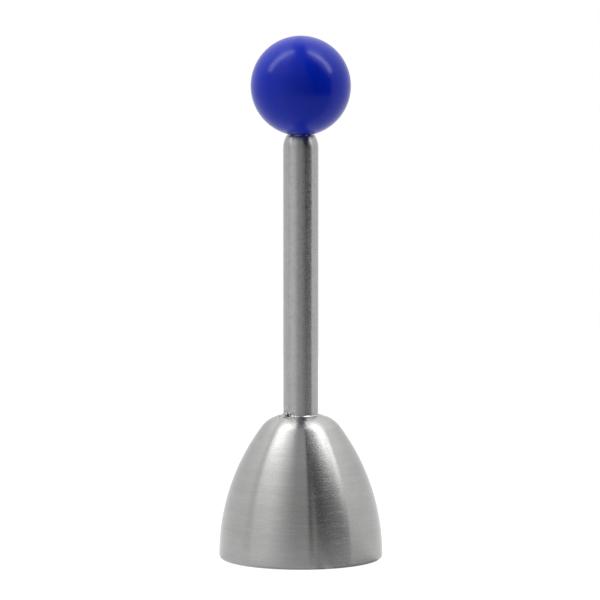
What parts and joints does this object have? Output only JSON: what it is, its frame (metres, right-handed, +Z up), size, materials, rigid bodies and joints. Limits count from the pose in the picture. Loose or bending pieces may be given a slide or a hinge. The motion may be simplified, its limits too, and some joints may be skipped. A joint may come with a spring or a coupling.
{
  "type": "egg topper",
  "caption": "Spring-plunger egg topper: steel bell on a slim tube, with a blue ball pulled up against a spring and let go to crack the shell at the rim.",
  "frame": {"origin": "centre of the plane that the bell's rim stands on", "axes": "+Z up the axis of the bell and tube, towards the ball; the part is the same all round, so X and Y are free"},
  "size_m": [0.041, 0.041, 0.1313],
  "materials": {
    "brushed_bell_steel": "stainless steel, fine brushing round the axis",
    "satin_tube_steel": "stainless steel, satin along the tube",
    "weld_steel": "small untouched weld bead",
    "turned_steel": "bright turned steel",
    "spring_steel": "drawn spring wire",
    "brass": "turned brass",
    "blue_plastic": "moulded blue plastic with a soft sheen"
  },
  "bodies": {
    "barrel": {"bell_cup": "brushed_bell_steel", "barrel_tube": "satin_tube_steel", "foot_weld_bead": "weld_steel", "anvil_plug": "turned_steel", "guide_bush": "brass", "upper_spring_washer": "turned_steel", "return_spring": "spring_steel"},
    "spring_carriage": {"lower_spring_washer": "turned_steel"},
    "plunger": {"plunger_rod": "turned_steel", "striker_weight": "turned_steel", "striker_cross_pin": "turned_steel", "knob_insert": "brass", "ball_knob": "blue_plastic"}
  },
  "joints": [
    {"name": "plunger_lift", "type": "slide", "parent": "barrel", "child": "spring_carriage", "axis": [0, 0, 1], "range_m": [0, 0.025], "stiffness_N_per_m": 767, "springref_m": -0.005, "deforming": ["return_spring"]},
    {"name": "knob_spin", "type": "hinge", "parent": "spring_carriage", "child": "plunger", "pos_m": [0, 0, 0.1188], "axis": [0, 0, 1], "continuous": true}
  ]
}
